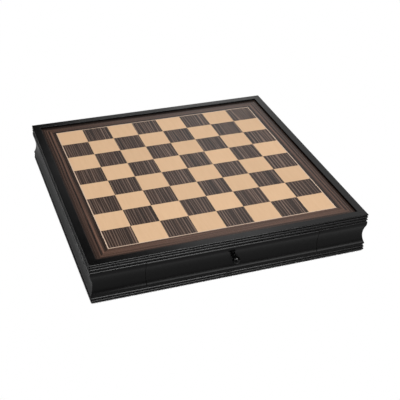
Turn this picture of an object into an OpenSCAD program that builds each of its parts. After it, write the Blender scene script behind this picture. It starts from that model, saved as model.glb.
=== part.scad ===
// Chess box: a square veneered board in a moulded case, with a drawer at the front and another at the back.
// Millimetres. X runs left to right, Y front to back and Z up. The origin is on the floor under the centre.
// Heights in the code are counted from the underside of the case. Depths are counted inwards from its
// outer face, and are called o.

/* [Board] */
// Side of one playing square
square_side = 50; // [40:1:60]
// Width of the light stringing round the squares
stringing_w = 1.5; // [1:0.5:4]
// Width of the mitred border outside the stringing
border_w = 25.5; // [16:0.5:40]
// Thickness of the veneers
veneer_t = 0.6; // [0.4:0.1:1]
// Thickness of the board's core
core_t = 6; // [4:0.5:7]
// Gap all round between the board and the rim
board_gap = 0.3; // [0.1:0.1:0.8]

/* [Case] */
// Height of the case without its pads
case_h = 73; // [66:1:100]
// Width of the flat top of the rim
rim_w = 14; // [11:0.5:24]
// Height of the rim above the playing surface
rim_rise = 3.5; // [2:0.5:5]
// Width of the ledge that carries the board
ledge_w = 4; // [2:0.5:8]
// Thickness of the base panel
base_t = 4; // [3:0.5:6]
// Width of the rebate that holds the base panel
base_rebate_w = 9; // [7:0.5:10]
// Gap all round between the base panel and its rebate
base_gap = 0.3; // [0.1:0.1:0.8]

/* [Moulding] */
// Height of the plain fillet at the top
fillet_h = 2.6; // [2:0.1:4]
// Height of each of the two upper reeds
reed_h = 3.7; // [3.2:0.1:4.4]
// Height of the quirk over each upper reed
quirk_h = 1.3; // [0.8:0.1:2]
// Height of the quirk over the bead
bead_quirk_h = 2; // [1.6:0.1:2.4]
// Depth of every quirk
quirk_d = 1.4; // [0.6:0.1:1.5]
// Height of the bead over the cove
bead_h = 5.4; // [3:0.1:7]
// Depth of the cove
cove_d = 4.3; // [2:0.1:6]
// Height of the lip under the cove
lip_h = 0.8; // [0.5:0.1:2]
// Height of the quirk under the lip
lip_quirk_h = 4; // [3.2:0.1:5]
// Height of the lower reed
low_reed_h = 3.6; // [3.2:0.1:4.4]
// Height of the quirk over the foot
foot_quirk_h = 1.2; // [0.8:0.1:2]
// Height of the plain foot
foot_h = 3.8; // [3:0.1:6]
// Chamfer on the long edges of the fillet, the bead and the foot
edge_chamfer = 0.5; // [0.2:0.1:0.8]

/* [Drawers] */
// Width of each drawer opening
opening_w = 302; // [180:1:320]
// Gap between a drawer front and the case
drawer_gap = 0.6; // [0.4:0.1:1]
// Thickness of the drawer sides
side_t = 8; // [6:0.5:10]
// Thickness of the drawer back
back_t = 8; // [6:0.5:10]
// How far the sides are let into the drawer front
side_lap = 8; // [6:0.5:9]
// How far the sides stop below the top of the drawer front
side_drop = 1; // [0.5:0.5:6]
// How far the drawer back stops below the sides
back_drop = 2; // [1:0.5:8]
// Thickness of the drawer bottom
bottom_t = 3; // [2:0.5:4]
// How far the bottom is let into the sides and the front
bottom_lap = 4; // [3:0.5:5]
// Thickness of the felt liner
liner_t = 1; // [0.5:0.1:2]
// Gap all round the felt liner
liner_gap = 0.4; // [0.2:0.1:1]
// Gap between a drawer and its runners
runner_gap = 0.3; // [0.2:0.1:0.5]
// Width of each runner
runner_w = 12; // [9:0.5:16]
// Thickness of each guide
guide_t = 10; // [6:0.5:14]
// Thickness of the divider behind the drawers
divider_t = 12; // [8:0.5:18]
// Gap between a closed drawer and the divider
stop_gap = 0.3; // [0.2:0.1:1]

/* [Knobs] */
// Diameter of the ball of a knob
ball_d = 13; // [11:0.5:15]
// Diameter of the foot flange of a knob
flange_d = 12.6; // [11:0.2:15]
// Thickness of the flange's plain edge
flange_t = 1.2; // [0.8:0.1:2]
// Height of the cone between the flange and the neck
flange_cone_h = 1.6; // [1:0.1:2.4]
// Diameter of the neck
neck_d = 7.6; // [7:0.1:9]
// How far a knob stands out from its seat
knob_reach = 17.5; // [16:0.5:20]
// Depth of the flat seat below the cove at the knob's axis
seat_d = 0.3; // [0.1:0.1:0.6]
// Gap round the flange in its seat
seat_gap = 0.3; // [0.2:0.1:0.6]
// Diameter of the knob's screw
screw_d = 4; // [3:0.5:4.5]
// Diameter of the screw's head
screw_head_d = 8; // [7:0.5:9]
// Height of the screw's head
screw_head_h = 2.6; // [2:0.1:3.2]
// How far the screw goes into the knob
screw_grip = 8; // [6:0.5:10]
// Radial gap of the screw in the drawer front
screw_gap = 0.3; // [0.2:0.1:0.5]
// Radial gap of a screw in its thread hole
thread_gap = 0.05; // [0.02:0.01:0.1]
// Depth of a thread hole past the tip of its screw
tip_gap = 0.5; // [0.2:0.1:1]

/* [Base] */
// Thickness of the felt pads
pad_t = 2; // [1:0.5:4]
// Diameter of the felt pads
pad_d = 22; // [14:1:30]
// Distance from the case's outer faces to the centre of a pad
pad_inset = 34; // [25:1:60]
// Diameter of a base screw
base_screw_d = 3; // [2.5:0.1:3.5]
// Length of a base screw
base_screw_l = 10; // [8:0.5:10.5]
// Diameter of a base screw's countersunk head
base_head_d = 5.6; // [5:0.1:6]
// Height of a base screw's countersunk head
base_head_h = 1.7; // [1.4:0.1:2]
// Distance of the base screws from the middle of each side
base_screw_x = 140; // [60:5:165]

/* [Hidden] */
$fn = 96;
cut = 1; // how far a cutting solid runs past the face that it opens
files = 8; // squares along each side of the board

// Plan
squares_half = files / 2 * square_side;
stringing_half = squares_half + stringing_w;
board_half = stringing_half + border_w;
moulding_t = rim_w + ledge_w;
case_half = board_half + board_gap + rim_w;
inner_half = case_half - moulding_t;
base_half = inner_half + base_rebate_w - base_gap;
opening_half = opening_w / 2;

// Heights, from the underside of the case
board_z = case_h - rim_rise;
core_z = board_z - veneer_t;
ledge_z = core_z - core_t;
fillet_z = case_h - fillet_h;
reed_r = reed_h / 2;
top_reed_z = fillet_z - quirk_h - reed_r;
second_reed_z = top_reed_z - reed_h - quirk_h;
bead_top = second_reed_z - reed_r - bead_quirk_h;
cove_top = bead_top - bead_h;
low_reed_r = low_reed_h / 2;
low_reed_z = foot_h + foot_quirk_h + low_reed_r;
lip_bottom = low_reed_z + low_reed_r + lip_quirk_h;
cove_bottom = lip_bottom + lip_h;
rail_z = bead_top + drawer_gap;
sill_z = lip_bottom - drawer_gap;
cove_mid = (cove_top + cove_bottom) / 2;
cove_chord = cove_top - cove_bottom;
cove_r = (pow(cove_chord / 2, 2) + pow(cove_d, 2)) / (2 * cove_d);

// Drawers, drawn at the front of the case
drawer_w = opening_w - 2 * drawer_gap;
drawer_half = drawer_w / 2;
drawer_z = lip_bottom;
floor_z = drawer_z + bottom_t;
side_top = bead_top - side_drop;
back_top = side_top - back_drop;
box_front = -inner_half;
box_rear = -(divider_t / 2 + stop_gap);
box_inner_half = drawer_half - side_t;
knob_z = (lip_bottom + bead_top) / 2;
seat_o = sqrt(pow(cove_r, 2) - pow(knob_z - cove_mid, 2)) - (cove_r - cove_d) + seat_d;
seat_y = -case_half + seat_o;
base_screw_y = -case_half + moulding_t - base_rebate_w / 2;

// ---- Placing

// Lifts what is drawn from the underside of the case onto the pads
module on_pads() {
    translate([0, 0, pad_t]) children();
}

// Puts what is drawn at the front of the case at the back
module at_back() {
    rotate([0, 0, 180]) children();
}

// Mirrors what is drawn on the right to the left where side is -1, and leaves it where side is 1
module on_side(side) {
    if (side < 0) mirror([1, 0, 0]) children();
    else children();
}

// A plate or block between two corners
module block(low, high) {
    translate(low) cube(high - low);
}

// ---- Moulding

// A sharp long edge taken off, as a 2D cutter centred on the edge
module edge_2d(o, z) {
    translate([o, z]) rotate(45) square(edge_chamfer * sqrt(2), center = true);
}

// Section of the case moulding: depth from the outer face, then height
module moulding_2d() {
    difference() {
        square([moulding_t, case_h]);
        translate([-cut, bead_top]) square([cut + quirk_d, fillet_z - bead_top]);
        translate([-cut, foot_h]) square([cut + quirk_d, lip_bottom - foot_h]);
        translate([cove_d - cove_r, cove_mid]) circle(r = cove_r);
        translate([rim_w, ledge_z]) square([ledge_w + cut, case_h - ledge_z + cut]);
        translate([moulding_t - base_rebate_w, -cut]) square([base_rebate_w + cut, base_t + cut]);
        for (edge = [[0, case_h], [rim_w, case_h], [0, fillet_z], [0, bead_top], [0, foot_h], [0, 0]])
            edge_2d(edge[0], edge[1]);
    }
    for (z = [top_reed_z, second_reed_z])
        translate([reed_r, z]) circle(r = reed_r);
    translate([low_reed_r, low_reed_z]) circle(r = low_reed_r);
}

// The part of the moulding's section between two heights
module moulding_band_2d(low, high) {
    intersection() {
        moulding_2d();
        translate([-cut, low]) square([moulding_t + 2 * cut, high - low]);
    }
}

// A length of moulding along X at the front of the case, from left to right
module moulding_length(left, right) {
    translate([left, -case_half, 0])
        rotate([90, 0, 90])
            linear_extrude(height = right - left) children();
}

// What is left of a front length when both corners of the case are mitred
module mitred() {
    reach = moulding_t + cut;
    intersection() {
        children();
        translate([0, -case_half, -cut])
            linear_extrude(height = case_h + 2 * cut)
                polygon([
                    [-case_half - cut, -cut], [case_half + cut, -cut],
                    [case_half - reach, reach], [reach - case_half, reach]
                ]);
    }
}

// Thread holes for the two base screws along the front
module base_screw_holes() {
    for (side = [-1, 1])
        translate([side * base_screw_x, base_screw_y, 0])
            cylinder(r = base_screw_d / 2 + thread_gap, h = base_screw_l + tip_gap);
}

// A full-height moulding, mitred at both ends, drawn at the front
module side_moulding() {
    color("#1b1a1a")
        difference() {
            mitred() moulding_length(-case_half, case_half) moulding_2d();
            base_screw_holes();
        }
}

module left_side_moulding() {
    on_pads() rotate([0, 0, -90]) side_moulding();
}

module right_side_moulding() {
    on_pads() rotate([0, 0, 90]) side_moulding();
}

// The reeded rail over a drawer
module top_rail() {
    color("#1b1a1a") on_pads()
        mitred() moulding_length(-case_half, case_half) moulding_band_2d(rail_z, case_h);
}

// The reeded rail under a drawer
module bottom_rail() {
    color("#1b1a1a") on_pads()
        difference() {
            mitred() moulding_length(-case_half, case_half) moulding_band_2d(0, sill_z);
            base_screw_holes();
        }
}

// The fixed piece of cove between a drawer opening and a corner: side is -1 at the left and 1 at the right
module end_block(side) {
    left = side < 0 ? -case_half : opening_half;
    right = side < 0 ? -opening_half : case_half;
    color("#1b1a1a") on_pads()
        mitred() moulding_length(left, right) moulding_band_2d(sill_z, rail_z);
}

// ---- Base

// One countersunk base screw, head down on the underside, or its hole if gap is added to its radius
module base_screw(gap) {
    cylinder(r1 = base_head_d / 2 + gap, r2 = base_screw_d / 2 + gap, h = base_head_h);
    cylinder(r = base_screw_d / 2 + gap, h = base_screw_l);
}

module base_screw_places() {
    for (turn = [0, 90, 180, 270], side = [-1, 1])
        rotate([0, 0, turn]) translate([side * base_screw_x, base_screw_y, 0]) children();
}

module base_panel() {
    color("#2a2723") on_pads()
        difference() {
            block([-base_half, -base_half, 0], [base_half, base_half, base_t]);
            base_screw_places() {
                base_screw(thread_gap);
                translate([0, 0, -cut]) cylinder(r = base_head_d / 2 + thread_gap, h = cut);
            }
        }
}

module base_screws() {
    color("#8d8d90") on_pads() base_screw_places() base_screw(0);
}

module base_pads() {
    pad_half = case_half - pad_inset;
    color("#141414")
        for (x = [-pad_half, pad_half], y = [-pad_half, pad_half])
            translate([x, y, 0]) cylinder(d = pad_d, h = pad_t);
}

// ---- Board

module board_core() {
    color("#8a6a48") on_pads()
        block([-board_half, -board_half, ledge_z], [board_half, board_half, core_z]);
}

// The squares of one colour: parity is 0 for the dark corner at the front left, and 1 for the light ones
module squares(parity) {
    for (column = [0:files - 1], row = [0:files - 1])
        if ((column + row) % 2 == parity)
            translate([column * square_side - squares_half, row * square_side - squares_half, core_z])
                cube([square_side, square_side, veneer_t]);
}

module dark_squares() {
    color("#3a2f2a") on_pads() squares(0);
}

module light_squares() {
    color("#d9b48c") on_pads() squares(1);
}

// A flat strip along the front of a square, mitred at both ends
module mitred_strip(inner, outer) {
    translate([0, 0, core_z])
        linear_extrude(height = veneer_t)
            polygon([[-outer, -outer], [outer, -outer], [inner, -inner], [-inner, -inner]]);
}

// The stringing along one side of the squares: turn is 0 at the front and counts anticlockwise
module stringing(turn) {
    color("#e2c6a4") on_pads()
        rotate([0, 0, turn]) mitred_strip(squares_half, stringing_half);
}

// The border along one side of the board, turned as the stringing is
module border(turn) {
    color("#4a352c") on_pads()
        rotate([0, 0, turn]) mitred_strip(stringing_half, board_half);
}

// ---- Inside the case

// The wall at one side of both drawers: side is -1 at the left and 1 at the right
module guide(side) {
    color("#b08a5a") on_pads() on_side(side)
        block([opening_half, -inner_half, base_t], [opening_half + guide_t, inner_half, ledge_z]);
}

module center_divider() {
    color("#b08a5a") on_pads()
        block([-opening_half, -divider_t / 2, base_t], [opening_half, divider_t / 2, ledge_z]);
}

// The strip under one side of the front drawer
module runner(side) {
    color("#c39b6a") on_pads() on_side(side)
        block([opening_half - runner_w, -inner_half, base_t],
              [opening_half, -divider_t / 2, drawer_z - runner_gap]);
}

// ---- Drawer, drawn at the front

module drawer_front() {
    color("#1b1a1a") on_pads()
        difference() {
            moulding_length(-drawer_half, drawer_half) moulding_band_2d(drawer_z, bead_top);
            for (side = [-1, 1])
                on_side(side)
                    block([box_inner_half, box_front - side_lap, drawer_z - cut],
                          [drawer_half + cut, box_front + cut, side_top]);
            block([-box_inner_half - cut, box_front - bottom_lap, drawer_z - cut],
                  [box_inner_half + cut, box_front + cut, floor_z]);
            translate([0, seat_y, knob_z]) rotate([90, 0, 0])
                cylinder(d = flange_d + 2 * seat_gap, h = seat_o + cut);
            translate([0, box_front + cut, knob_z]) rotate([90, 0, 0])
                cylinder(r = screw_d / 2 + screw_gap, h = moulding_t + 2 * cut);
        }
}

// side is -1 at the left and 1 at the right
module drawer_side(side) {
    color("#3b2b22") on_pads() on_side(side)
        difference() {
            block([box_inner_half, box_front - side_lap, drawer_z], [drawer_half, box_rear, side_top]);
            block([box_inner_half - cut, box_front - side_lap - cut, drawer_z - cut],
                  [box_inner_half + bottom_lap, box_rear + cut, floor_z]);
        }
}

module drawer_back() {
    color("#3b2b22") on_pads()
        block([-box_inner_half, box_rear - back_t, floor_z], [box_inner_half, box_rear, back_top]);
}

module drawer_bottom() {
    half = box_inner_half + bottom_lap;
    color("#6b4a32") on_pads()
        block([-half, box_front - bottom_lap, drawer_z], [half, box_rear, floor_z]);
}

module drawer_liner() {
    half = box_inner_half - liner_gap;
    rear = box_rear - back_t - liner_gap;
    color("#1f3a2a") on_pads()
        block([-half, box_front + liner_gap, floor_z], [half, rear, floor_z + liner_t]);
}

module knob() {
    ball_r = ball_d / 2;
    color("#0d0d0e") on_pads()
        translate([0, seat_y, knob_z]) rotate([90, 0, 0])
            difference() {
                union() {
                    cylinder(d = flange_d, h = flange_t);
                    translate([0, 0, flange_t]) cylinder(d1 = flange_d, d2 = neck_d, h = flange_cone_h);
                    cylinder(d = neck_d, h = knob_reach - ball_r);
                    translate([0, 0, knob_reach - ball_r]) sphere(r = ball_r);
                }
                translate([0, 0, -cut])
                    cylinder(r = screw_d / 2 + thread_gap, h = cut + screw_grip + tip_gap);
            }
}

module knob_screw() {
    grip_y = seat_y - screw_grip;
    color("#8d8d90") on_pads()
        translate([0, box_front + screw_head_h, knob_z]) rotate([90, 0, 0]) {
            cylinder(d = screw_head_d, h = screw_head_h);
            cylinder(d = screw_d, h = box_front + screw_head_h - grip_y);
        }
}

// ---- Nodes

left_side_moulding();
right_side_moulding();
top_rail();  // front_top_rail
bottom_rail();  // front_bottom_rail
end_block(-1);  // front_left_block
end_block(1);  // front_right_block
at_back() top_rail();  // back_top_rail
at_back() bottom_rail();  // back_bottom_rail
at_back() end_block(1);  // back_left_block
at_back() end_block(-1);  // back_right_block
base_panel();
base_pads();
base_screws();
board_core();
dark_squares();
light_squares();
stringing(0);  // stringing_front
stringing(90);  // stringing_right
stringing(180);  // stringing_back
stringing(270);  // stringing_left
border(0);  // border_front
border(90);  // border_right
border(180);  // border_back
border(270);  // border_left
guide(-1);  // left_guide
guide(1);  // right_guide
center_divider();
runner(-1);  // front_left_runner
runner(1);  // front_right_runner
at_back() runner(1);  // back_left_runner
at_back() runner(-1);  // back_right_runner
drawer_front();  // front_drawer_front
drawer_side(-1);  // front_drawer_left_side
drawer_side(1);  // front_drawer_right_side
drawer_back();  // front_drawer_back
drawer_bottom();  // front_drawer_bottom
drawer_liner();  // front_drawer_liner
knob();  // front_knob
knob_screw();  // front_knob_screw
at_back() drawer_front();  // back_drawer_front
at_back() drawer_side(1);  // back_drawer_left_side
at_back() drawer_side(-1);  // back_drawer_right_side
at_back() drawer_back();  // back_drawer_back
at_back() drawer_bottom();  // back_drawer_bottom
at_back() drawer_liner();  // back_drawer_liner
at_back() knob();  // back_knob
at_back() knob_screw();  // back_knob_screw
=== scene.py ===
import math

import bmesh
import bpy
from mathutils import Matrix, Vector


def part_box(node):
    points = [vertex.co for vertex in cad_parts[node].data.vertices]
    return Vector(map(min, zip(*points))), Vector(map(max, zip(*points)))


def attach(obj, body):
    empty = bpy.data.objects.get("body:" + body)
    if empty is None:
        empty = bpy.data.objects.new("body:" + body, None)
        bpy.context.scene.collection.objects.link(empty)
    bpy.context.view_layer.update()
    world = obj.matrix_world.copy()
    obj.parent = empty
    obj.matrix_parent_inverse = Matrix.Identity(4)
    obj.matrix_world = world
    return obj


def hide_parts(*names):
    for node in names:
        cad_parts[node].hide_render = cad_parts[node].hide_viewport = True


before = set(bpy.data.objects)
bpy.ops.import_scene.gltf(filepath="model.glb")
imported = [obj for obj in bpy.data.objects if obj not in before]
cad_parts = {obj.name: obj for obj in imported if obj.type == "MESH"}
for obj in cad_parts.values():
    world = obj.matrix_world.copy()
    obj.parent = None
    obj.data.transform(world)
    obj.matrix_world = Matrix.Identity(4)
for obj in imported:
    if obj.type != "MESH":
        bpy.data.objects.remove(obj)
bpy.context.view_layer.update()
mm = 0.001
scene = bpy.context.scene
print("frame loaded:", len(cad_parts), "nodes")


# the camera

cameraSet = {
    "place": (-0.4552, -1.2874, 0.8732),
    "aim": (-0.0145, -0.109, 0.0715),  # a point on the playing surface
    "roll": 1.7497,  # degrees
    "lens": 77.73,
    "sensor": 36.0,
    "clip": (0.05, 200),
}


def aimed(settings):
    # stands a camera or a lamp at its place and turns it to its aim
    place, aim = Vector(settings["place"]), Vector(settings["aim"])
    turn = (aim - place).to_track_quat("-Z", "Y").to_matrix().to_4x4()
    roll = Matrix.Rotation(math.radians(settings["roll"]), 4, "Z")
    return Matrix.Translation(place) @ turn @ roll


def objectOf(name, data):
    # puts a mesh, a lamp or a camera into the scene
    made = bpy.data.objects.new(name, data)
    scene.collection.objects.link(made)
    return made


def placeCamera(settings):
    data = bpy.data.cameras.new("camera")
    data.lens = settings["lens"]
    data.sensor_width = settings["sensor"]
    data.clip_start, data.clip_end = settings["clip"]
    scene.camera = objectOf("camera", data)
    scene.camera.matrix_world = aimed(settings)


placeCamera(cameraSet)
print("camera placed")


# writing materials

class Wire:
    # one output of a material's nodes, which can stand in a sum
    def __init__(self, finish, socket):
        self.finish = finish
        self.socket = socket

    def __add__(self, other):
        return self.finish.math("ADD", self, other)

    def __sub__(self, other):
        return self.finish.math("SUBTRACT", self, other)

    def __rsub__(self, other):
        return self.finish.math("SUBTRACT", other, self)

    def __mul__(self, other):
        return self.finish.math("MULTIPLY", self, other)


class Finish:
    # a material, and the nodes that lead to its shader
    def __init__(self, name, fixed):
        self.material = bpy.data.materials.new(name)
        self.material.use_nodes = True
        self.tree = self.material.node_tree
        self.shader = self.tree.nodes["Principled BSDF"]
        for socket, value in fixed.items():
            self.shader.inputs[socket].default_value = value
        place = self.node("ShaderNodeTexCoord", output="Object")
        self.x = self.node("ShaderNodeSeparateXYZ", sockets={0: place}, output=0)
        self.y = Wire(self, self.x.socket.node.outputs[1])
        self.z = Wire(self, self.x.socket.node.outputs[2])

    def node(self, kind, settings=None, sockets=None, output=0):
        made = self.tree.nodes.new(kind)
        for name, value in (settings or {}).items():
            if name == "stops":
                self.setStops(made.color_ramp, value)
            else:
                setattr(made, name, value)
        for name, value in (sockets or {}).items():
            self.feed(made.inputs[name], value)
        return Wire(self, made.outputs[output])

    def setStops(self, ramp, stops):
        while len(ramp.elements) < len(stops):
            ramp.elements.new(1.0)
        for element, (position, color) in zip(ramp.elements, stops):
            element.position = position
            element.color = (*color, 1.0)

    def feed(self, socket, value):
        if isinstance(value, Wire):
            self.tree.links.new(value.socket, socket)
        else:
            socket.default_value = value

    def math(self, operation, *values):
        return self.node("ShaderNodeMath", {"operation": operation}, dict(enumerate(values)))

    def clamped(self, value):
        return self.node("ShaderNodeClamp", sockets={0: value})

    def spread(self, value, low, high):
        # 0 below low and 1 above high
        return self.node("ShaderNodeMapRange", {"interpolation_type": "SMOOTHSTEP"},
                         {0: value, 1: low, 2: high, 3: 0.0, 4: 1.0})

    def vector(self, x, y, z):
        return self.node("ShaderNodeCombineXYZ", sockets={0: x, 1: y, 2: z})

    def noise(self, vector, detail=2.0, roughness=0.5, distortion=0.0):
        return self.node("ShaderNodeTexNoise", {"noise_dimensions": "3D"},
                         {"Vector": vector, "Scale": 1.0, "Detail": detail, "Roughness": roughness,
                          "Distortion": distortion})

    def chance(self, vector):
        # a random number for each whole-numbered place
        return self.node("ShaderNodeTexWhiteNoise", {"noise_dimensions": "3D"}, {"Vector": vector})

    def blend(self, factor, first, second, how="MIX"):
        first, second = [color if isinstance(color, Wire) else (*color, 1.0) for color in (first, second)]
        return self.node("ShaderNodeMix", {"data_type": "RGBA", "blend_type": how},
                         {0: factor, 6: first, 7: second}, output=2)

    def toned(self, color, tone):
        # a colour made lighter or darker by one factor
        return self.blend(1.0, color, self.vector(tone, tone, tone), "MULTIPLY")

    def ramp(self, value, stops):
        return self.node("ShaderNodeValToRGB", {"stops": stops}, {0: value})

    def bump(self, height, distance):
        # height runs from 0 to 1, and distance is its real depth in mm
        return self.node("ShaderNodeBump", sockets={"Height": height, "Distance": distance * mm})

    def shade(self, **links):
        for name, value in links.items():
            self.feed(self.shader.inputs[name.replace("_", " ")], value)
        return self.material


def cells(wire, size):
    # a length counted in cells of so many mm
    return wire * (1 / (size * mm))


def inCells(finish, across, along, up=0.0):
    # a place counted in cells, from how many mm one is wide in X, Y and Z; 0 leaves an axis out
    wires, sizes = (finish.x, finish.y, finish.z), (across, along, up)
    return finish.vector(*[cells(wire, size) if size else 0.0 for wire, size in zip(wires, sizes)])


def evenCells(finish, size):
    return inCells(finish, size, size, size)


def grainCells(finish, axis, length, width):
    # cells that are long in the grain's direction, which is an axis
    return inCells(finish, *[length if one == axis else width for one in "xyz"])


def fromMiddle(finish):
    # how far out a point lies, towards the nearest of the four sides
    return finish.math("MAXIMUM", finish.math("ABSOLUTE", finish.x), finish.math("ABSOLUTE", finish.y))


def squareOf(finish, cell):
    # the column and the row of the square that a point lies in
    return [finish.math("FLOOR", cells(wire, cell)) for wire in (finish.x, finish.y)]


caseHalf = -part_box("left_side_moulding")[0].x / mm
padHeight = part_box("left_side_moulding")[0].z / mm


# finishes; sizes in mm, and the two numbers that end a spread are where it begins and where it is full

blackLacquer = {
    "color": (0.0014, 0.001344, 0.001344),
    "thinColor": (0.012, 0.009, 0.0075),  # where it is rubbed on an edge
    "roughness": (0.16, 0.21),  # clean, and much handled
    "pore": (9.0, 0.35),  # length and width
    "poreDepth": 0.0015,
    "ripple": (60.0, 9.0),
    "rippleDepth": 0.003,
    "handledWidth": 38.0,
    "rubbedWidth": 3.0,
    "crestHighlightGloss": 0.3,  # extra gloss on the upward-facing crests near the outer face, which brightens the lamps' highlights there: a painted highlight
    "crest": (1.3, 0.4),  # how far inside the outer face this extra gloss begins, and where it is full
}


def makeBlackLacquer(name, axis):
    values = blackLacquer
    finish = Finish(name, {"IOR": 1.5, "Specular IOR Level": 0.325, "Coat Roughness": 0.2, "Coat IOR": 1.5})
    pores = finish.noise(grainCells(finish, axis, *values["pore"]), detail=2.0, roughness=0.6)
    ripple = finish.noise(grainCells(finish, axis, *values["ripple"]), detail=1.0)
    handled = finish.noise(evenCells(finish, values["handledWidth"]), detail=4.0, roughness=0.6)
    wear = finish.node("ShaderNodeAttribute", {"attribute_name": "wear"}, output="Fac")
    patchy = finish.noise(evenCells(finish, values["rubbedWidth"]), detail=3.0)
    rubbed = finish.spread(wear * patchy, 0.42, 0.7)
    facing = finish.node("ShaderNodeNewGeometry", output="Normal")
    upward = finish.node("ShaderNodeSeparateXYZ", sockets={0: facing}, output=2)
    begins, full = [(caseHalf - inside) * mm for inside in values["crest"]]
    # the crests: upward-facing parts near the outer face, whose extra coat is a painted highlight
    crest = finish.spread(upward, 0.2, 0.5) * finish.spread(fromMiddle(finish), begins, full)
    clean, dull = values["roughness"]
    height = finish.spread(pores, 0.28, 0.42) * values["poreDepth"] + ripple * values["rippleDepth"]
    return finish.shade(
        Base_Color=finish.blend(rubbed, values["color"], values["thinColor"]),
        Roughness=finish.spread(handled, 0.35, 0.7) * (dull - clean) + clean,
        Coat_Weight=crest * values["crestHighlightGloss"],
        Normal=finish.bump(height, 1.0),
    )


veneerCoat = {"IOR": 1.5, "Specular IOR Level": 0.22}
ebonyVeneer = {
    "ground": (0.025, 0.016, 0.0125),
    "brown": (0.054, 0.03, 0.021),
    "line": (0.225, 0.148, 0.112),
    "fineLine": (0.082, 0.048, 0.036),
    "lineSpacing": 4.6,
    "unevenness": 2.2,  # how many spacings the lines stray
    "faintest": 0.4,  # how strong the faintest line is
    "fineWidth": 0.8,
    "patchWidth": 17.0,
    "wander": 260.0,  # the length of grain over which the lines wander
    "pore": (0.25, 4.0),  # width and length
    "poreDepth": 0.006,
    "roughness": 0.245,
}


def ebonyFigure(finish, side, grain, jump):
    # pale lines at uneven distances on a nearly black ground; side runs across the lines and grain along
    # them, jump picks a part of the veneer, and the last number of each vector keeps the patterns apart
    values = ebonyVeneer
    faintest = values["faintest"]
    poreWidth, poreLength = values["pore"]
    along = cells(grain, values["wander"])
    across = cells(side, values["lineSpacing"]) + jump
    uneven = finish.noise(finish.vector(across * 0.6, along, 2.0), detail=1.0) * values["unevenness"]
    phase = across + uneven
    ridge = 1.0 - finish.math("ABSOLUTE", finish.math("FRACT", phase) * 2.0 - 1.0)
    strength = finish.chance(finish.vector(finish.math("FLOOR", phase), 3.0, 0.0)) * (1 - faintest) + faintest
    patch = finish.noise(finish.vector(cells(side, values["patchWidth"]) + jump, along, 5.0), detail=1.0)
    fine = finish.noise(finish.vector(cells(side, values["fineWidth"]) + jump, along * 1.4, 7.0), detail=1.0)
    pore = finish.noise(finish.vector(cells(side, poreWidth), cells(grain, poreLength), 0.0), detail=1.0)
    color = finish.blend(finish.spread(patch, 0.4, 0.65) * 0.5, values["ground"], values["brown"])
    color = finish.blend(finish.spread(fine, 0.45, 0.7) * 0.6, color, values["fineLine"])
    lines = finish.spread(ridge, 0.5, 0.95) * strength * (finish.spread(patch, 0.28, 0.42) * 0.3 + 0.7)
    color = finish.blend(lines, color, values["line"])
    color = finish.blend(finish.spread(pore, 0.6, 0.75) * 0.35, color, values["ground"])
    return color, pore


def coatedVeneer(finish, color, pore):
    return finish.shade(
        Base_Color=color,
        Roughness=finish.spread(pore, 0.5, 0.8) * 0.1 + ebonyVeneer["roughness"],
        Normal=finish.bump(1.0 - finish.spread(pore, 0.6, 0.8), ebonyVeneer["poreDepth"]),
    )


ebonySquares = {
    "columnJump": 40.0,  # how far apart in the veneer two columns can be cut, in line spacings
    "squareJump": 0.12,  # and two squares of one column
    "closeness": 0.86,  # how close the lines lie in the column right of the middle
    "easing": 0.055,  # how much less close they lie with each column to the right
    "darkest": 0.9,
    "tones": 0.2,  # how much lighter than the darkest a square can be
    "jointWidth": 0.7,  # the dark glue line round each square
    "jointShare": 0.6,
}


def makeEbonySquares(name, cell):
    values = ebonySquares
    finish = Finish(name, veneerCoat)
    column, row = squareOf(finish, cell)
    jump = finish.chance(finish.vector(column, 0.0, 0.0)) * values["columnJump"]
    jump = jump + finish.chance(finish.vector(column, row, 5.0)) * values["squareJump"]
    side = finish.x * (values["closeness"] - column * values["easing"])
    color, pore = ebonyFigure(finish, side, finish.y, jump)
    tone = finish.chance(finish.vector(column, row, 3.0)) * values["tones"] + values["darkest"]
    color = finish.toned(color, tone)
    for wire in (finish.x, finish.y):
        part = finish.math("FRACT", cells(wire, cell))
        edge = finish.math("MINIMUM", part, 1.0 - part) * cell
        joint = (1.0 - finish.spread(edge, 0.0, values["jointWidth"])) * values["jointShare"]
        color = finish.blend(joint, color, ebonyVeneer["ground"])
    return coatedVeneer(finish, color, pore)


ebonyBorder = {
    "bandDark": (0.0115, 0.007, 0.0055),
    "bandLight": (0.15, 0.08, 0.056),
    "bandShare": 0.88,  # how far the bands cover the finer figure
    "drift": 0.14,  # how far the bands wander, as a share of the border's width
    "driftLength": 130.0,
    "hair": (1.3, 240.0),  # width and length of the finest streaks
    "jump": 11.0,
    # how light each strip looks, by mm from the squares outwards: the wood's own bands, with painted shadow
    # of the rim darkening the outer few mm
    "sides": [(0, 0.08), (3, 0.05), (6, 0.1), (8.2, 0.3), (10.0, 1.0), (11.4, 0.8), (13.3, 0.0), (14.8, 0.0),
              (17.0, 0.72), (18.6, 0.15), (20.0, 0.08), (21.6, 0.5), (23.0, 0.0), (24.8, 0.22), (26.2, 0.0)],
    # painted sheen: the front strip is lighter and flatter than the sides
    "front": [(0, 0.7), (3, 0.56), (5.5, 0.54), (7.6, 0.58), (9.6, 0.67), (11.2, 0.55), (13.2, 0.63),
              (15.4, 0.58), (17.4, 0.62), (19.2, 0.34), (21.4, 0.13), (24.0, 0.12), (26.2, 0.0)],
    # painted shade: the back strip is kept darker than the front
    "back": [(0, 0.25), (3, 0.1), (5.5, 0.12), (7.6, 0.34), (9.6, 0.5), (11.2, 0.42), (13.2, 0.48),
             (15.4, 0.4), (17.4, 0.34), (19.2, 0.12), (21.4, 0.02), (24.0, 0.02), (26.2, 0.0)],
}


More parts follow.
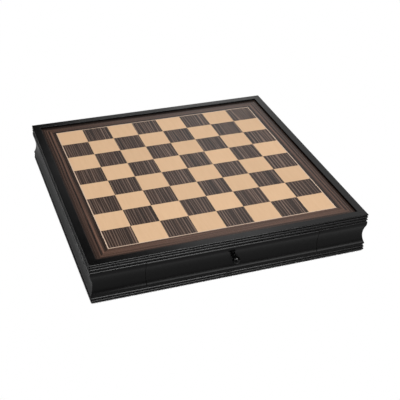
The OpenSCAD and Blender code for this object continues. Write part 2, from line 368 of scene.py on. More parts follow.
def makeEbonyBorder(name, strip, start, width):
    values = ebonyBorder
    finish = Finish(name, veneerCoat)
    side, grain = (finish.x, finish.y) if strip == "sides" else (finish.y, finish.x)
    color, pore = ebonyFigure(finish, side, grain, values["jump"])
    drift = finish.noise(finish.vector(side * 2.0, cells(grain, values["driftLength"]), 4.0), detail=1.0)
    drift = drift * values["drift"] - values["drift"] / 2
    place = cells(finish.math("ABSOLUTE", side) - start * mm, width) + drift
    # the lists' tones hold painted shade and painted sheen as well as the wood's bands
    light = finish.ramp(place, [(stop / width, (tone, tone, tone)) for stop, tone in values[strip]])
    band = finish.blend(light, values["bandDark"], values["bandLight"])
    hairWidth, hairLength = values["hair"]
    hair = finish.noise(finish.vector(cells(side, hairWidth), cells(grain, hairLength), 9.0), detail=2.0)
    band = finish.toned(band, finish.spread(hair, 0.36, 0.64) * 0.9 + 0.5)
    return coatedVeneer(finish, finish.blend(values["bandShare"], color, band), pore)


mapleVeneer = {
    "color": (0.715, 0.472, 0.284),
    "dark": (0.675, 0.435, 0.254),
    "fleck": (0.56, 0.33, 0.17),
    "figure": (7.0, 60.0),  # width and length of the cloudy figure
    "fibre": (0.35, 6.0),
    "fibreDepth": 0.004,
    "darkest": 0.96,
    "tones": 0.08,  # how much lighter than the darkest a square can be
    "roughness": 0.34,
}


def makeMaple(name, cell):
    values = mapleVeneer
    finish = Finish(name, veneerCoat)
    tone = finish.chance(finish.vector(*squareOf(finish, cell), 1.0))
    width, length = values["figure"]
    cloud = finish.vector(cells(finish.x, width) + tone * 30.0, cells(finish.y, length), 0.0)
    figure = finish.noise(cloud, detail=4.0, roughness=0.6)
    fibre = finish.noise(inCells(finish, *values["fibre"]), detail=2.0)
    color = finish.blend(finish.spread(figure, 0.35, 0.75) * 0.7, values["color"], values["dark"])
    color = finish.blend(finish.spread(fibre, 0.62, 0.8) * 0.22, color, values["fleck"])
    return finish.shade(
        Base_Color=finish.toned(color, tone * values["tones"] + values["darkest"]),
        Roughness=finish.spread(fibre, 0.4, 0.8) * 0.08 + values["roughness"],
        Normal=finish.bump(fibre, values["fibreDepth"]),
    )


stringingWood = {
    "color": (0.72, 0.54, 0.41),
    "streak": (0.62, 0.45, 0.33),
    "streakWidth": 4.0,
    "roughness": 0.35,
}


def makeStringing(name):
    values = stringingWood
    finish = Finish(name, {"IOR": 1.5})
    streak = finish.noise(evenCells(finish, values["streakWidth"]), detail=3.0)
    return finish.shade(
        Base_Color=finish.blend(streak, values["color"], values["streak"]),
        Roughness=streak * 0.1 + values["roughness"],
    )


# rings are the long cells of the figure and fibres the short ones, each by length and width
beech = {
    "light": (0.5, 0.3, 0.165),
    "dark": (0.37, 0.2, 0.1),
    "rings": (120.0, 5.0),
    "fibres": (14.0, 0.3),
    "fibreDepth": 0.03,
    "roughness": 0.55,
}
drawerWood = {**beech, "light": (0.115, 0.05, 0.026), "dark": (0.05, 0.021, 0.012), "roughness": 0.38}
drawerPly = {**beech, "light": (0.3, 0.16, 0.08), "dark": (0.19, 0.095, 0.045), "rings": (120.0, 9.0)}


def makeTimber(name, values, axis):
    # planed timber whose grain runs along one axis
    finish = Finish(name, {"IOR": 1.45})
    rings = grainCells(finish, axis, *values["rings"])
    rings = finish.noise(rings, detail=4.0, roughness=0.55, distortion=0.6)
    fibre = finish.noise(grainCells(finish, axis, *values["fibres"]), detail=2.0)
    color = finish.blend(finish.spread(rings, 0.35, 0.68), values["light"], values["dark"])
    color = finish.blend(finish.spread(fibre, 0.55, 0.75) * 0.45, color, values["dark"])
    return finish.shade(
        Base_Color=color,
        Roughness=finish.spread(fibre, 0.3, 0.8) * 0.15 + values["roughness"],
        Normal=finish.bump(fibre, values["fibreDepth"]),
    )


coreBoard = {
    "color": (0.33, 0.2, 0.11),
    "speck": (0.2, 0.115, 0.06),
    "speckWidth": 0.9,
    "blotchWidth": 30.0,
    "fluffDepth": 0.05,
    "roughness": 0.75,
}
blackBoard = {**coreBoard, "color": (0.02, 0.018, 0.016), "speck": (0.035, 0.03, 0.026), "roughness": 0.6}


def makeFibreboard(name, values):
    finish = Finish(name, {"IOR": 1.4})
    fluff = finish.noise(evenCells(finish, values["speckWidth"]), detail=4.0, roughness=0.7)
    blotch = finish.noise(evenCells(finish, values["blotchWidth"]), detail=3.0)
    shown = finish.blend(finish.spread(fluff, 0.45, 0.7) * 0.6, values["color"], values["speck"])
    shown = finish.blend(finish.spread(blotch, 0.4, 0.7) * 0.3, shown, values["color"])
    return finish.shade(
        Base_Color=shown,
        Roughness=fluff * 0.15 + values["roughness"],
        Normal=finish.bump(fluff, values["fluffDepth"]),
    )


greenFelt = {
    "color": (0.006, 0.042, 0.022),
    "lint": (0.012, 0.075, 0.04),
    "fibreWidth": 0.5,
    "tuftWidth": 2.6,
    "napWidth": 24.0,  # the patches in which the pile lies one way, which are painted darker: a painted difference in sheen
    "pileDepth": 0.25,
}
blackFelt = {**greenFelt, "color": (0.008, 0.008, 0.008), "lint": (0.02, 0.02, 0.02)}


def makeFelt(name, values):
    finish = Finish(name, {"IOR": 1.3, "Roughness": 0.95, "Sheen Weight": 0.35, "Sheen Roughness": 0.5})
    color, lint = values["color"], values["lint"]
    fibres = finish.noise(evenCells(finish, values["fibreWidth"]), detail=5.0, roughness=0.75, distortion=1.5)
    tufts = finish.noise(evenCells(finish, values["tuftWidth"]), detail=2.0, distortion=2.0)
    napSheen = finish.noise(evenCells(finish, values["napWidth"]), detail=3.0)
    shown = finish.blend(finish.spread(fibres, 0.4, 0.72) * 0.6, color, lint)
    shown = finish.blend(finish.spread(tufts, 0.42, 0.66) * 0.45, shown, lint)
    # patches where the pile lies one way are drawn darker: a painted difference in sheen
    shown = finish.blend(finish.spread(napSheen, 0.4, 0.65) * 0.5, shown, color)
    return finish.shade(Base_Color=shown, Normal=finish.bump(fibres, values["pileDepth"]))


screwSteel = {
    "color": (0.6, 0.6, 0.61),
    "tarnish": (0.33, 0.32, 0.29),
    "tarnishWidth": 2.0,
    "scratchWidth": 0.25,
    "scratchDepth": 0.01,
    "roughness": 0.28,
}


def makeSteel(name):
    values = screwSteel
    finish = Finish(name, {"Metallic": 1.0})
    scratch = finish.noise(evenCells(finish, values["scratchWidth"]), detail=3.0)
    tarnish = finish.noise(evenCells(finish, values["tarnishWidth"]), detail=3.0)
    return finish.shade(
        Base_Color=finish.blend(finish.spread(tarnish, 0.4, 0.75) * 0.4, values["color"], values["tarnish"]),
        Roughness=scratch * 0.2 + values["roughness"],
        Normal=finish.bump(scratch, values["scratchDepth"]),
    )


knobLacquer = {
    "color": (0.001, 0.001, 0.001),
    "handled": (0.002, 0.0019, 0.0018),
    "handledWidth": 4.0,
    "handledDepth": 0.004,
    "roughness": 0.2,
}


def makeKnobLacquer(name):
    values = knobLacquer
    finish = Finish(name, {"IOR": 1.5, "Specular IOR Level": 0.3})
    handled = finish.noise(evenCells(finish, values["handledWidth"]), detail=4.0)
    return finish.shade(
        Base_Color=finish.blend(handled, values["color"], values["handled"]),
        Roughness=finish.spread(handled, 0.4, 0.75) * 0.08 + values["roughness"],
        Normal=finish.bump(handled, values["handledDepth"]),
    )


squareSide = 50.0
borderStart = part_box("dark_squares")[1].x / mm
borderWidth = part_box("border_right")[1].x / mm - borderStart
finishes = {
    "lacquerX": makeBlackLacquer("black_lacquer_x", "x"),
    "lacquerY": makeBlackLacquer("black_lacquer_y", "y"),
    "knob": makeKnobLacquer("knob_lacquer"),
    "ebonySquares": makeEbonySquares("ebony_squares", squareSide),
    "ebonySides": makeEbonyBorder("ebony_border_sides", "sides", borderStart, borderWidth),
    "ebonyFrontSheen": makeEbonyBorder("ebony_border_front_painted_sheen", "front", borderStart, borderWidth),
    "ebonyBackShaded": makeEbonyBorder("ebony_border_back_painted_shade", "back", borderStart, borderWidth),
    "maple": makeMaple("maple_squares", squareSide),
    "stringing": makeStringing("maple_stringing"),
    "core": makeFibreboard("fibreboard", coreBoard),
    "base": makeFibreboard("black_base_board", blackBoard),
    "beechX": makeTimber("beech_x", beech, "x"),
    "beechY": makeTimber("beech_y", beech, "y"),
    "drawerX": makeTimber("drawer_wood_x", drawerWood, "x"),
    "drawerY": makeTimber("drawer_wood_y", drawerWood, "y"),
    "ply": makeTimber("drawer_ply", drawerPly, "x"),
    "greenFelt": makeFelt("green_felt", greenFelt),
    "blackFelt": makeFelt("black_felt", blackFelt),
    "steel": makeSteel("screw_steel"),
}
print("finishes made:", len(finishes))


# shared ways of making a piece; sizes in mm

creaseAngle = 38  # degrees from which an edge is shaded as a sharp one
lathedGap = 0.002  # points closer than this are joined in a turned shape
copiedGap = 0.005  # and in a copy of a CAD node


def shapeOf(name, mesh):
    # puts a finished bmesh into the scene
    data = bpy.data.meshes.new(name)
    mesh.to_mesh(data)
    mesh.free()
    return objectOf(name, data)


def keep(mesh, name, finish, body, nodes, weighted=True):
    # makes a bmesh into a piece that stands for CAD nodes
    for edge in mesh.edges:
        edge.smooth = edge.calc_face_angle(0.0) < math.radians(creaseAngle)
    for face in mesh.faces:
        face.smooth = True
    piece = shapeOf(name, mesh)
    piece.data.materials.append(finishes[finish])
    if weighted:
        even = piece.modifiers.new("even_shading", "WEIGHTED_NORMAL")
        even.keep_sharp = True
    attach(piece, body)
    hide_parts(*nodes)
    return piece


def turned(mesh, degrees, axis="Z"):
    turn = Matrix.Rotation(math.radians(degrees), 3, axis)
    bmesh.ops.rotate(mesh, verts=mesh.verts, cent=(0, 0, 0), matrix=turn)


def eased(mesh, geom, radius, segments, affect="EDGES"):
    # rounds edges or corners
    return bmesh.ops.bevel(mesh, geom=geom, offset=radius * mm, offset_type="OFFSET", segments=segments,
                           profile=0.5, affect=affect, material=-1, clamp_overlap=True)


def sharpEdges(mesh, degrees):
    return [edge for edge in mesh.edges if edge.calc_face_angle(0.0) > math.radians(degrees)]


def vertsOf(geom):
    return [item for item in geom if isinstance(item, bmesh.types.BMVert)]


def lathe(points, sides):
    # turns a profile of radius and height about the upright axis
    mesh = bmesh.new()
    tip = mesh.verts.new((points[0][0] * mm, 0, points[0][1] * mm))
    for radius, height in points[1:]:
        tip = bmesh.ops.extrude_vert_indiv(mesh, verts=[tip])["verts"][0]
        tip.co = (radius * mm, 0, height * mm)
    bmesh.ops.spin(mesh, geom=mesh.verts[:] + mesh.edges[:], cent=(0, 0, 0), axis=(0, 0, 1),
                   angle=math.radians(360), steps=sides, use_merge=True)
    bmesh.ops.remove_doubles(mesh, verts=mesh.verts, dist=lathedGap * mm)
    bmesh.ops.recalc_face_normals(mesh, faces=mesh.faces)
    return mesh


def blockBetween(low, high):
    # a plain block between two corners
    mesh = bmesh.new()
    bmesh.ops.create_cube(mesh, size=1.0)
    low, high = Vector(low) * mm, Vector(high) * mm
    bmesh.ops.scale(mesh, verts=mesh.verts, vec=high - low)
    bmesh.ops.translate(mesh, verts=mesh.verts, vec=(low + high) / 2)
    return mesh


def carve(mesh, cutters):
    # cuts each of the cutters out of the mesh
    made = [shapeOf("carving", part) for part in [mesh] + cutters]
    for cutter in made[1:]:
        cut = made[0].modifiers.new("cut", "BOOLEAN")
        cut.operation = "DIFFERENCE"
        cut.solver = "EXACT"
        cut.object = cutter
    shaped = made[0].evaluated_get(bpy.context.evaluated_depsgraph_get())
    carved = bmesh.new()
    carved.from_mesh(shaped.data)
    for part in made:
        data = part.data
        bpy.data.objects.remove(part)
        bpy.data.meshes.remove(data)
    return carved


class Outline:
    # a section drawn point by point: o is the depth from the outer face and z the height
    def __init__(self, o, z):
        self.mesh = bmesh.new()
        self.tip = self.mesh.verts.new((0, o * mm, z * mm))
        self.first = self.tip
        self.rounds = []

    def to(self, o, z, radius=0.0):
        self.tip = bmesh.ops.extrude_vert_indiv(self.mesh, verts=[self.tip])["verts"][0]
        self.tip.co = (0, o * mm, z * mm)
        if radius:
            self.rounds.append((self.tip, radius))

    def turn(self, o, z, degrees, steps):
        # an arc about (o, z)
        spun = bmesh.ops.spin(self.mesh, geom=[self.tip], cent=(0, o * mm, z * mm), axis=(1, 0, 0),
                              angle=math.radians(degrees), steps=steps)
        self.tip = vertsOf(spun["geom_last"])[0]

    def close(self):
        bmesh.ops.contextual_create(self.mesh, geom=[self.tip, self.first])
        bmesh.ops.contextual_create(self.mesh, geom=self.mesh.edges[:])
        for radius in sorted({r for _, r in self.rounds}):
            corners = [vert for vert, r in self.rounds if r == radius and vert.is_valid]
            eased(self.mesh, corners, radius, 5, "VERTICES")
        return self.mesh


# the moulded case

moulding = {
    "depth": 18.0,
    "rimWidth": 14.0,
    "rimRounds": (0.9, 0.5),  # outer and inner
    "ledgeHeight": 62.9,
    "rebateWidth": 9.0,
    "rebateHeight": 4.0,
    "height": 73.0,
    "filletHeight": 2.6,
    "filletRound": 0.4,
    "reedHeight": 3.7,
    "quirkHeight": 1.3,
    "beadQuirkHeight": 2.0,
    "quirkDepth": 1.4,
    "beadHeight": 4.1,  # its upright face
    "beadRound": 2.6,
    "coveDepth": 4.06,
    "coveMiddle": 32.3,  # where the cove is deepest
    "beadSwell": 0.275,  # the share of the cove's rise that curves the other way, into the bead
    "lipSwell": 0.14,  # and into the lip
    "lipHeight": 0.3,
    "lipRound": 0.25,
    "lipQuirkHeight": 4.0,
    "lowReedHeight": 3.6,
    "footQuirkHeight": 1.2,
    "footHeight": 3.8,
    "footRounds": (0.7, 0.9),  # lower and upper
    "drawerGap": 0.6,
    "railRound": 0.2,
    "hiddenRound": 0.3,  # on edges that face inwards
    "endRound": 0.12,
    "mitreRound": 0.08,
    "reedSteps": 16,
    "swellSteps": (12, 14),  # at the lip and at the bead
    "hollowSteps": 26,
}


def heights(m):
    # heights of the moulding's parts above its underside
    reed, lowReed = m["reedHeight"] / 2, m["lowReedHeight"] / 2
    h = {"reed": reed, "lowReed": lowReed}
    h["fillet"] = m["height"] - m["filletHeight"]
    h["topReed"] = h["fillet"] - m["quirkHeight"] - reed
    h["secondReed"] = h["topReed"] - m["reedHeight"] - m["quirkHeight"]
    h["beadTop"] = h["secondReed"] - reed - m["beadQuirkHeight"]
    h["beadFoot"] = h["beadTop"] - m["beadHeight"]
    h["bottomReed"] = m["footHeight"] + m["footQuirkHeight"] + lowReed
    h["lipBottom"] = h["bottomReed"] + lowReed + m["lipQuirkHeight"]
    h["lipTop"] = h["lipBottom"] + m["lipHeight"]
    h["rail"] = h["beadTop"] + m["drawerGap"]
    h["sill"] = h["lipBottom"] - m["drawerGap"]
    return h


levels = heights(moulding)
quirk, inside = moulding["quirkDepth"], moulding["depth"]  # how deep the quirks' floor and the inner face lie


def drawReed(outline, z, radius):
    # a half-round reed that stands out of the quirk's floor
    rise = math.sqrt(radius ** 2 - (radius - quirk) ** 2)
    half = math.degrees(math.asin(rise / radius))
    if quirk > radius:
        half = 180 - half
    outline.to(quirk, z - rise)
    outline.turn(radius, z, -2 * half, moulding["reedSteps"])


def drawFoot():
    # the rebate for the base, the foot and the low reed, going up
    m, h = moulding, levels
    rebate = inside - m["rebateWidth"]
    lower, upper = m["footRounds"]
    outline = Outline(inside, m["rebateHeight"])
    outline.to(rebate, m["rebateHeight"])
    outline.to(rebate, 0, m["hiddenRound"])
    outline.to(0, 0, lower)
    outline.to(0, m["footHeight"], upper)
    outline.to(quirk, m["footHeight"])
    drawReed(outline, h["bottomReed"], h["lowReed"])
    return outline


def coveArcs(rise, share):
    # two arcs that take the section in by the cove's depth: how deep their middles lie, the swelling one's
    # first, and how many degrees each turns
    depth = moulding["coveDepth"]
    lean = 2 * math.atan(depth / rise)
    radius = rise / math.sin(lean)
    return radius * share, depth - radius * (1 - share), math.degrees(lean)


def drawCove(outline):
    # the lip, the cove and the bead, going up in one flowing line
    m, h = moulding, levels
    middle = m["coveMiddle"]
    lipSteps, beadSteps = m["swellSteps"]
    outline.to(0, h["lipBottom"], m["lipRound"])
    outline.to(0, h["lipTop"])
    swell, hollow, degrees = coveArcs(middle - h["lipTop"], m["lipSwell"])
    outline.turn(swell, h["lipTop"], -degrees, lipSteps)
    outline.turn(hollow, middle, degrees, m["hollowSteps"])
    swell, hollow, degrees = coveArcs(h["beadFoot"] - middle, m["beadSwell"])
    outline.turn(hollow, middle, degrees, m["hollowSteps"])
    outline.turn(swell, h["beadFoot"], -degrees, beadSteps)
    outline.to(0, h["beadTop"], m["beadRound"])


def drawReeds(outline):
    # the two reeds, the fillet and the rim's top, going up
    m, h = moulding, levels
    outer, inner = m["rimRounds"]
    drawReed(outline, h["secondReed"], h["reed"])
    drawReed(outline, h["topReed"], h["reed"])
    outline.to(quirk, h["fillet"])
    outline.to(0, h["fillet"], m["filletRound"])
    outline.to(0, m["height"], outer)
    outline.to(m["rimWidth"], m["height"], inner)
    outline.to(m["rimWidth"], m["ledgeHeight"])
    outline.to(inside, m["ledgeHeight"], m["hiddenRound"])


def sideOutline():
    outline = drawFoot()
    outline.to(quirk, levels["lipBottom"])
    drawCove(outline)
    outline.to(quirk, levels["beadTop"])
    drawReeds(outline)
    return outline


def topRailOutline():
    rail = levels["rail"]
    outline = Outline(inside, rail)
    outline.to(quirk, rail, moulding["railRound"])
    drawReeds(outline)
    return outline


def bottomRailOutline():
    sill, rounding = levels["sill"], moulding["hiddenRound"]
    outline = drawFoot()
    outline.to(quirk, sill, rounding)
    outline.to(inside, sill, rounding)
    return outline


def blockOutline():
    h = levels
    outline = Outline(inside, h["sill"])
    outline.to(quirk, h["sill"])
    outline.to(quirk, h["lipBottom"])
    drawCove(outline)
    outline.to(quirk, h["beadTop"])
    outline.to(quirk, h["rail"])
    outline.to(inside, h["rail"])
    return outline


wearing = {
    "cut": 1.0,  # how rubbed the edges of an end cut are
    "crest": 0.8,  # and the crests along a length
    "crestAngle": 13,  # degrees from which an edge is a crest
    "fadesWithin": 2.0,  # how far from an end its wear fades away
}


def lengthOf(outline, left, right, mitres, rounding):
    # pushes a section along the front of the case and cuts each end square or, as a mitre, at 45 degrees
    mesh = outline.close()
    face = mesh.faces[:]
    bmesh.ops.translate(mesh, verts=mesh.verts, vec=(left * mm, 0, 0))
    end = vertsOf(bmesh.ops.extrude_face_region(mesh, geom=face)["geom"])
    bmesh.ops.translate(mesh, verts=end, vec=((right - left) * mm, 0, 0))
    known = set(end)
    start = [vert for vert in mesh.verts if vert not in known]
    for verts, mitred, slope in zip((start, end), mitres, (1, -1)):
        if mitred:
            shear = Matrix(((1, slope, 0, 0), (0, 1, 0, 0), (0, 0, 1, 0), (0, 0, 0, 1)))
            bmesh.ops.transform(mesh, verts=verts, matrix=shear)
    bmesh.ops.recalc_face_normals(mesh, faces=mesh.faces)
    for x, mitred, slope in zip((left, right), mitres, (1, -1)):
        bmesh.ops.bisect_plane(mesh, geom=mesh.verts[:] + mesh.edges[:] + mesh.faces[:],
                               plane_co=((x + slope * wearing["fadesWithin"]) * mm, 0, 0),
                               plane_no=(slope, -1 if mitred else 0, 0))
    caps = [face for face in mesh.faces if len(face.verts) > 8]  # only an end has so many corners
    rims = list({edge for cap in caps for edge in cap.edges})
    rounded = eased(mesh, rims, rounding, 2)
    wear = mesh.verts.layers.float.new("wear")
    for face in rounded["faces"]:
        for vert in face.verts:
            vert[wear] = wearing["cut"]
    crestAngle = math.radians(wearing["crestAngle"])
    for edge in mesh.edges:
        if edge.is_manifold and edge.calc_face_angle_signed(0.0) > crestAngle:
            for vert in edge.verts:
                vert[wear] = max(vert[wear], wearing["crest"])
    bmesh.ops.translate(mesh, verts=mesh.verts, vec=(0, -caseHalf * mm, padHeight * mm))
    return mesh


def mouldingPiece(outline, left, right, mitres, rounding, angle, name, finish, node):
    # a length of moulding at the front of the case, turned round to its own side
    mesh = lengthOf(outline, left, right, mitres, rounding)
    turned(mesh, angle)
    keep(mesh, name, finish, "case", [node])


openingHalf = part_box("right_guide")[0].x / mm

for side, angle in (("left", -90), ("right", 90)):
    mouldingPiece(sideOutline(), -caseHalf, caseHalf, (True, True), moulding["mitreRound"], angle,
                  side + "_side", "lacquerY", side + "_side_moulding")

for end, angle, sides in (("front", 0, ("left", "right")), ("back", 180, ("right", "left"))):
    for part, outline in (("top_rail", topRailOutline), ("bottom_rail", bottomRailOutline)):
        node = end + "_" + part
        mouldingPiece(outline(), -caseHalf, caseHalf, (True, True), moulding["mitreRound"], angle,
                      node + "_moulding", "lacquerX", node)
    for side, left, right, mitres in ((sides[0], -caseHalf, -openingHalf, (True, False)),
                                      (sides[1], openingHalf, caseHalf, (False, True))):
        place = end + "_" + side
        mouldingPiece(blockOutline(), left, right, mitres, moulding["endRound"], angle,
                      place + "_cove", "lacquerX", place + "_block")
print("case mouldings made")


# the board's veneers stay as they are and get their woods

def dress(node, finish):
    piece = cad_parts[node]
    piece.data.materials.clear()
    piece.data.materials.append(finishes[finish])


dress("dark_squares", "ebonySquares")
dress("light_squares", "maple")
for side, finish in (("front", "ebonyFrontSheen"), ("back", "ebonyBackShaded"), ("left", "ebonySides"),
                     ("right", "ebonySides")):
    dress("border_" + side, finish)
    dress("stringing_" + side, "stringing")
print("board dressed")


# plain timber and felt, with their sharp edges rounded

easing = {"board": 0.2, "base": 0.3, "beech": 0.5, "drawer": 0.5, "ply": 0.3, "felt": 0.35}


def easedCopy(node, name, finish, body, radius):
    # a merged copy of a CAD node with its sharp edges rounded
    mesh = bmesh.new()
    mesh.from_mesh(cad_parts[node].data)
    bmesh.ops.remove_doubles(mesh, verts=mesh.verts, dist=copiedGap * mm)
    bmesh.ops.dissolve_limit(mesh, angle_limit=math.radians(1), verts=mesh.verts, edges=mesh.edges)
    eased(mesh, sharpEdges(mesh, 40), radius, 2)
    return keep(mesh, name, finish, body, [node])


easedCopy("board_core", "core_board", "core", "case", easing["board"])
easedCopy("base_panel", "base_board", "base", "case", easing["base"])
easedCopy("center_divider", "middle_divider", "beechX", "case", easing["beech"])
for side in ("left", "right"):
    easedCopy(side + "_guide", side + "_drawer_guide", "beechY", "case", easing["beech"])
    for end in ("front", "back"):
        node = end + "_" + side + "_runner"
        easedCopy(node, node + "_strip", "beechY", "case", easing["beech"])
print("inner timber made")


# felt pads and screws under the base

padShape = {"radius": 11.0, "round": 0.5, "sides": 64}


def makePads(settings):
    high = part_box("base_pads")[1]
    radius = settings["radius"] * mm
    inset = high.x - radius
    mesh = bmesh.new()
    for x in (-1, 1):
        for y in (-1, 1):
            centre = Vector((x * inset, y * inset, high.z / 2))
            bmesh.ops.create_cone(mesh, cap_ends=True, segments=settings["sides"], radius1=radius,
                                  radius2=radius, depth=high.z, matrix=Matrix.Translation(centre))
    eased(mesh, sharpEdges(mesh, 60), settings["round"], 3)
    return keep(mesh, "felt_pads", "blackFelt", "case", ["base_pads"])


baseScrew = {
    "head": 5.6,
    "headHeight": 1.7,
    "rim": (0.15, 0.12),  # how far its edge is rounded inwards and upwards
    "shank": 3.0,
    "length": 10.0,
    "point": 2.5,
    "pointRadius": 0.4,
    "along": 140.0,  # from the middle of each side
    "inset": 13.5,  # from the outer face
    "slot": (3.0, 0.75, 1.1),  # each arm of the cross: length, width and depth
    "stops": (0.7, 1.1),  # radians a cross is turned from side to side, and either way on one side
    "sides": 32,
}
slotNarrows = (0.45, 0.6, 1.0)  # the share of a slot's size that is left at its floor


def crossCut(slot):
    # the two arms of a driver's cross, cut up into a head from below
    arms = []
    for turn in (0, 90):
        arm = bmesh.new()
        bmesh.ops.create_cube(arm, size=1.0)
        bmesh.ops.scale(arm, verts=arm.verts, vec=(slot[0] * mm, slot[1] * mm, 2 * slot[2] * mm))
        deep = [vert for vert in arm.verts if vert.co.z > 0]
        bmesh.ops.scale(arm, verts=deep, vec=slotNarrows)
        turned(arm, turn)
        arms.append(arm)
    return arms


def makeBaseScrews(settings):
    s = settings
    shank, head, length = s["shank"] / 2, s["head"] / 2, s["length"]
    inward, upward = s["rim"]
    points = [(0, 0), (head - inward, 0), (head, upward), (shank, s["headHeight"]),
              (shank, length - s["point"]), (s["pointRadius"], length), (0, length)]
    screw = carve(lathe(points, s["sides"]), crossCut(s["slot"]))
    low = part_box("base_screws")[0].z
    reach = caseHalf - s["inset"]
    perSide, perScrew = s["stops"]
    one = screw.verts[:] + screw.edges[:] + screw.faces[:]
    for turn in range(4):
        for side in (-1, 1):
            twin = vertsOf(bmesh.ops.duplicate(screw, geom=one)["geom"])
            stopped = Matrix.Rotation(perSide * turn + perScrew * side, 3, "Z")
            quarter = Matrix.Rotation(math.radians(90 * turn), 3, "Z")
            bmesh.ops.rotate(screw, verts=twin, cent=(0, 0, 0), matrix=stopped)
            bmesh.ops.translate(screw, verts=twin, vec=(side * s["along"] * mm, -reach * mm, low))
            bmesh.ops.rotate(screw, verts=twin, cent=(0, 0, 0), matrix=quarter)
    bmesh.ops.delete(screw, geom=vertsOf(one), context="VERTS")
    return keep(screw, "countersunk_screws", "steel", "case", ["base_screws"])


makePads(padShape)
makeBaseScrews(baseScrew)
print("base made")


# drawers

knobShape = {
    "ball": 13.0,
    "ballSteps": 26,
    "flange": 12.6,
    "flangeEdge": 1.2,
    "underRound": 0.3,
    "overRound": [(0, -0.4), (-0.12, -0.1), (-0.5, 0)],  # how the flange's upper edge rolls over
    "sweepHeight": 0.5,  # of the small hollow sweep from the flange up to the neck
    "sweepSteps": 5,
    "neck": 7.6,
    "bore": 4.1,
    "boreDepth": 8.6,
    "sides": 72,
}


def makeKnob(end, angle, settings):
    s = settings
    low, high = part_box(end + "_knob")
    tip = max(abs(low.y), abs(high.y)) / mm  # the ball's far point
    reach = (high.y - low.y) / mm
    ball, flange, neck, bore = s["ball"] / 2, s["flange"] / 2, s["neck"] / 2, s["bore"] / 2
    edge, under = s["flangeEdge"], s["underRound"]
    points = [(0, s["boreDepth"]), (bore, s["boreDepth"]), (bore, 0), (flange - under, 0), (flange, under)]
    points += [(flange + out, edge + up) for out, up in s["overRound"]]
    sweepFrom = points[-1][0]
    for step in range(s["sweepSteps"]):
        turn = math.radians(90 * (step + 1) / s["sweepSteps"])
        points.append((neck + (sweepFrom - neck) * (1 - math.sin(turn)),
                       edge + s["sweepHeight"] * (1 - math.cos(turn))))
    start = math.asin(neck / ball)
    centre = reach - ball
    for step in range(s["ballSteps"] + 1):
        turn = start + (math.pi - start) * step / s["ballSteps"]
        points.append((ball * math.sin(turn), centre - ball * math.cos(turn)))
    mesh = lathe(points, s["sides"])
    turned(mesh, 90, "X")
    bmesh.ops.translate(mesh, verts=mesh.verts, vec=(0, -(tip - reach) * mm, (low.z + high.z) / 2))
    turned(mesh, angle)
    return keep(mesh, end + "_pull", "knob", end + "_drawer", [end + "_knob"], weighted=False)


knobScrew = {
    "head": 8.0,
    "headHeight": 2.6,
    "crown": [(-1.8, 0.12), (-0.7, 0.45), (-0.1, 1.3)],  # its domed face, from the edge inwards and up
    "rim": [(0, -0.4), (-0.15, 0)],  # the edge on the wood, from the edge inwards and up
    "shank": 4.0,
    "tip": 0.5,  # the bevel at the end
    "slot": (4.4, 0.95, 1.5),
    "stop": 30,  # degrees
    "sides": 40,
}


def makeKnobScrew(end, angle, settings):
    s = settings
    low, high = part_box(end + "_knob_screw")
    length = (high.y - low.y) / mm
    inner = min(abs(low.y), abs(high.y))
    head, shank, top, tip = s["head"] / 2, s["shank"] / 2, s["headHeight"], s["tip"]
    points = [(0, 0)]
    points += [(head + out, up) for out, up in s["crown"]]
    points += [(head + out, top + up) for out, up in s["rim"]]
    points += [(shank, top), (shank, length - tip), (shank - tip, length), (0, length)]
    mesh = carve(lathe(points, s["sides"]), crossCut(s["slot"]))
    turned(mesh, s["stop"])
    turned(mesh, 90, "X")
    bmesh.ops.translate(mesh, verts=mesh.verts, vec=(0, -inner, (low.z + high.z) / 2))
    turned(mesh, angle)
    return keep(mesh, end + "_pull_screw", "steel", end + "_drawer", [end + "_knob_screw"])


drawerFront = {
    "seat": 13.2,  # the flat recess that the knob's flange sits in
    "screwHole": 4.6,
    "holeSides": 64,
    "endRound": 0.3,
    "innerRound": 0.4,
    "past": 2.0,  # how far the cutters reach beyond the wood
}


def frontOutline(settings):
    outline = Outline(inside, levels["lipBottom"])
    drawCove(outline)
    outline.to(inside, levels["beadTop"], settings["innerRound"])
    return outline


def makeDrawerFront(end, angle, settings):
    # the length of moulding, rebated for the sides and the bottom and bored for the knob
    s = settings
    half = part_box("front_drawer_front")[1].x / mm
    sideLow, sideHigh = [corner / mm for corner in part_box("front_drawer_right_side")]
    floorLow, floorHigh = [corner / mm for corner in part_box("front_drawer_bottom")]
    knobLow, knobHigh = [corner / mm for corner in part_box("front_knob")]
    past = s["past"]
    outer = -caseHalf - past
    inner = -caseHalf + inside + past
    cutters = [
        blockBetween((sideLow.x, sideLow.y, sideLow.z - past), (sideHigh.x + past, inner, sideHigh.z)),
        blockBetween((-sideHigh.x - past, sideLow.y, sideLow.z - past), (-sideLow.x, inner, sideHigh.z)),
        blockBetween((-sideLow.x - past, floorLow.y, floorLow.z - past),
                     (sideLow.x + past, inner, floorHigh.z)),
    ]
    for width, stop in ((s["seat"], knobHigh.y), (s["screwHole"], inner)):
        bore = lathe([(0, outer), (width / 2, outer), (width / 2, stop), (0, stop)], s["holeSides"])
        turned(bore, -90, "X")
        bmesh.ops.translate(bore, verts=bore.verts, vec=(0, 0, (knobLow.z + knobHigh.z) / 2 * mm))
        cutters.append(bore)
    mesh = carve(lengthOf(frontOutline(s), -half, half, (False, False), s["endRound"]), cutters)
    turned(mesh, angle)
    body = end + "_drawer"
    return keep(mesh, body + "_cove", "lacquerX", body, [body + "_front"])


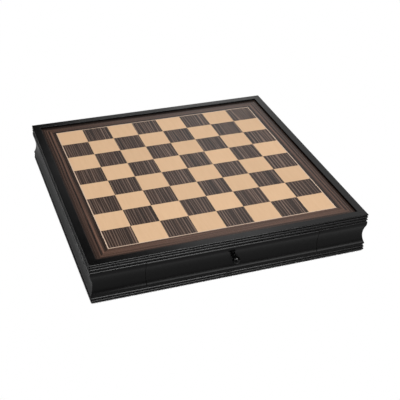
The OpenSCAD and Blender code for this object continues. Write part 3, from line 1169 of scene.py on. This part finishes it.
def makeDrawer(end, angle):
    body = end + "_drawer"
    makeDrawerFront(end, angle, drawerFront)
    for side in ("left", "right"):
        easedCopy(body + "_" + side + "_side", body + "_" + side + "_wall", "drawerY", body,
                  easing["drawer"])
    easedCopy(body + "_back", body + "_rear_wall", "drawerX", body, easing["drawer"])
    easedCopy(body + "_bottom", body + "_floor", "ply", body, easing["ply"])
    felt = easedCopy(body + "_liner", body + "_felt", "greenFelt", body, easing["felt"])
    makeKnob(end, angle, knobShape)
    makeKnobScrew(end, angle, knobScrew)


for end, angle in (("front", 0), ("back", 180)):
    makeDrawer(end, angle)
print("drawers made")


# floor and light

studio = {
    "floorSize": 60.0,
    "floorRoughness": 0.9,
    "floorColor": (0.95, 0.95, 0.95),  # as it is looked at
    "nearReflectionShade": (0.33, 0.33, 0.33),  # painted shade: the floor's colour for every ray but the camera's, so the lacquer mirrors a dark floor beside the case
    "farReflectionShade": (0.12, 0.12, 0.12),  # and darker still farther away, also painted shade
    "reflectionShadeFades": (0.05, 0.25),  # metres outside the case over which the painted shade goes from near to far
    "mirroredWhite": (4, 8.1),  # metres outside the case from where it is mirrored as white
    "shadowReach": 0.05,  # metres from the object in which the floor shows its shadow
    "shadowFades": (0.25, 0.5),  # how open to the room the floor is where its shadow ends
    "worldColor": (0.97, 0.98, 1.0),
    "worldStrength": 0.03,
}
# place, aim and size in metres, roll in degrees, and glow is how bright the cloth looks
softboxes = {
    "overhead": {"place": (0.45, -1.8, 4.0), "aim": (0.45, -1.8, 0), "roll": 0, "size": (2.6, 2.2),
                 "glow": 8.2},
    "left": {"place": (-3.4, -1.0, 3.0), "aim": (0, 0, 0), "roll": 0, "size": (2.0, 3.0), "glow": 2.4},
    "front_right": {"place": (1.65, -4.4, 1.5), "aim": (0, 0, 0.75), "roll": 0, "size": (2.0, 2.6),
                    "glow": 1.6},
    "back_right": {"place": (2.393, 4.5, 2.486), "aim": (0, 0, 0.07), "roll": -27, "size": (3.0, 3.0),
                   "glow": 0.48},
    "back_middle": {"place": (1.874, 4.525, 2.715), "aim": (0, 0, 0.07), "roll": 10, "size": (0.75, 4.1),
                    "glow": 0.37},
}


def makePaper(settings):
    # away from the object and its open drawers the floor is seen as plain white paper
    finish = Finish("pale_floor", {"Roughness": settings["floorRoughness"], "Specular IOR Level": 0.0})
    direct, glossy, through = [finish.node("ShaderNodeLightPath", output=ray) for ray in (
        "Is Camera Ray", "Is Glossy Ray", "Is Transmission Ray")]
    away = fromMiddle(finish) - caseHalf * mm
    # every ray but the camera's sees the floor in a painted shade, darker near the case and darker still
    # farther out, not in its pale colour
    fading = finish.spread(away, *settings["reflectionShadeFades"])
    paintedReflectionShade = finish.blend(fading, settings["nearReflectionShade"], settings["farReflectionShade"])
    finish.shade(Base_Color=finish.blend(direct, paintedReflectionShade, settings["floorColor"]))
    openness = finish.node("ShaderNodeAmbientOcclusion", {"samples": 8},
                           {"Distance": settings["shadowReach"]}, output=1)
    seen = finish.spread(openness, *settings["shadowFades"]) * finish.clamped(direct + through)
    mirrored = finish.spread(away, *settings["mirroredWhite"]) * glossy
    white = finish.node("ShaderNodeEmission", sockets={"Color": (1, 1, 1, 1), "Strength": 1.0})
    mixed = finish.node("ShaderNodeMixShader", sockets={
        0: finish.clamped(seen + mirrored), 1: Wire(finish, finish.shader.outputs[0]), 2: white})
    finish.feed(finish.tree.nodes["Material Output"].inputs["Surface"], mixed)
    return finish.material


def makeFloor(settings):
    mesh = bmesh.new()
    bmesh.ops.create_grid(mesh, x_segments=1, y_segments=1, size=settings["floorSize"] / 2)
    floor = shapeOf("floor", mesh)
    floor.data.materials.append(makePaper(settings))


def makeWorld(settings):
    world = bpy.data.worlds.new("studio")
    world.use_nodes = True
    background = world.node_tree.nodes["Background"]
    background.inputs["Color"].default_value = (*settings["worldColor"], 1.0)
    background.inputs["Strength"].default_value = settings["worldStrength"]
    scene.world = world


def makeSoftbox(name, settings):
    data = bpy.data.lights.new(name, "AREA")
    data.shape = "RECTANGLE"
    data.size, data.size_y = settings["size"]
    data.energy = 4 * settings["glow"] * data.size * data.size_y
    objectOf(name, data).matrix_world = aimed(settings)


makeFloor(studio)
makeWorld(studio)
for name, settings in softboxes.items():
    makeSoftbox(name, settings)
scene.view_settings.view_transform = "Standard"
print("studio made")
